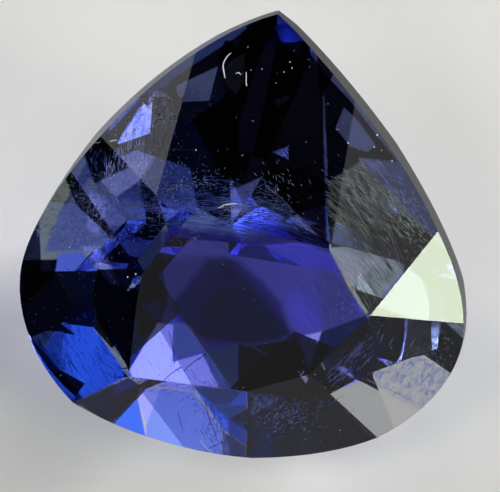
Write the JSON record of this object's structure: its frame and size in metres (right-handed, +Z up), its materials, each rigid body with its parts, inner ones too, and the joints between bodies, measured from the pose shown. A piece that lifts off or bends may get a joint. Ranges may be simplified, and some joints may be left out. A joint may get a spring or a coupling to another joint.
{
  "type": "pear cut iolite gemstone",
  "caption": "Loose pear cut iolite: a broad, violet-blue, see-through faceted stone with a flat table, a thin girdle and a pointed pavilion, lying on one pavilion facet.",
  "frame": {"origin": "centre of the bounding box in X and Y, on the surface that the stone lies on", "axes": "+Z up from the surface; +Y away from the viewer, towards the pear's point; +X to the viewer's right; the table faces up and towards -Y"},
  "size_m": [0.0074, 0.0064, 0.0056],
  "materials": {
    "iolite": "polished facets, see-through violet-blue"
  },
  "bodies": {
    "root": {"pear_cut_iolite": "iolite"}
  },
  "joints": []
}
